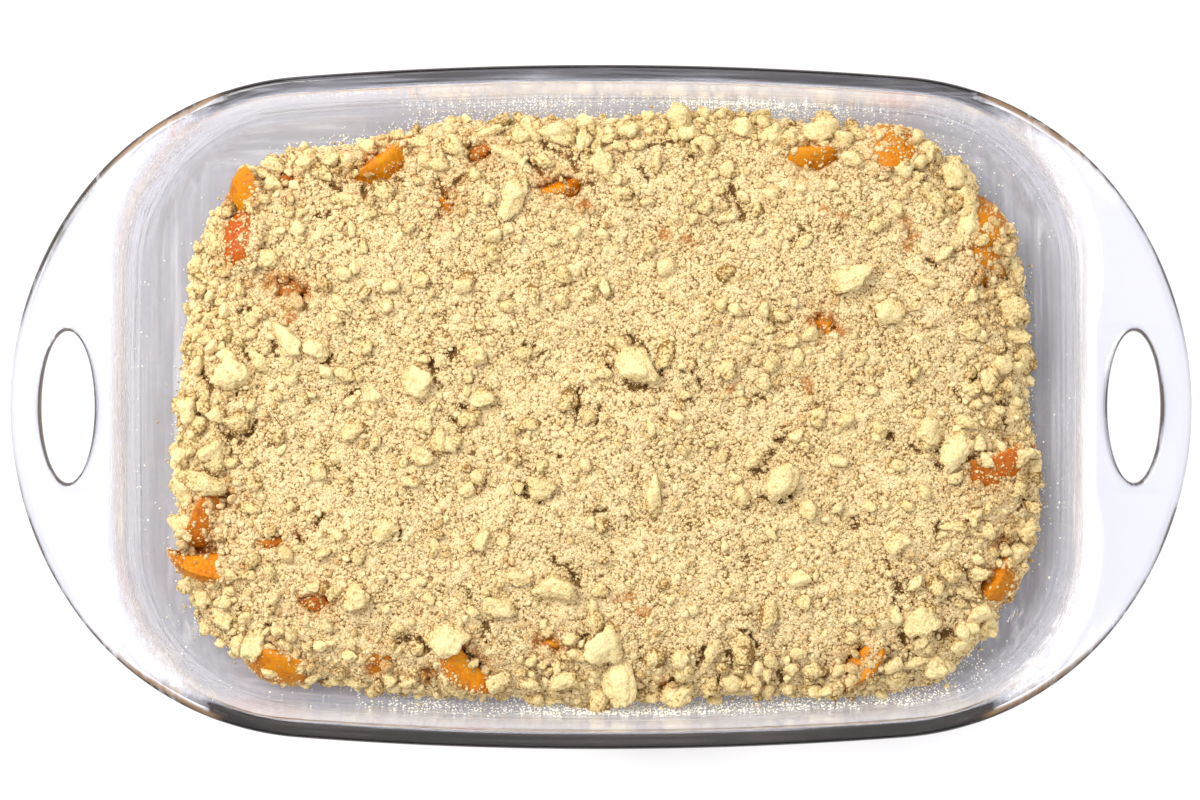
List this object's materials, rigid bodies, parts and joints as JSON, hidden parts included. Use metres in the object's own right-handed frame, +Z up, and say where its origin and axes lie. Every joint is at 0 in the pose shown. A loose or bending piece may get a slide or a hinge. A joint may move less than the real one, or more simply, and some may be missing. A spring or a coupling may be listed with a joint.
{
  "type": "apricot crisp in a glass baking dish",
  "caption": "Oblong clear glass baking dish with an oval finger hole in each rounded handle, filled with apricot quarters under an uneven blanket of pale lumpy crumble, ready for the oven.",
  "frame": {"origin": "middle of the dish's flat base, on the surface that it stands on", "axes": "+X along the dish's length, out through one handle; +Y across the dish; +Z up, out of the dish's open top"},
  "size_m": [0.39, 0.226, 0.052],
  "materials": {
    "glass": "clear pressed glass, smooth and glossy",
    "apricot": "moist apricot flesh and skin, orange with a red blush",
    "crumble": "dry sandy crumb of flour, brown sugar and butter, matte"
  },
  "bodies": {
    "root": {"baking_dish": "glass", "apricot_filling": "apricot", "crumble_topping": "crumble"}
  },
  "joints": []
}
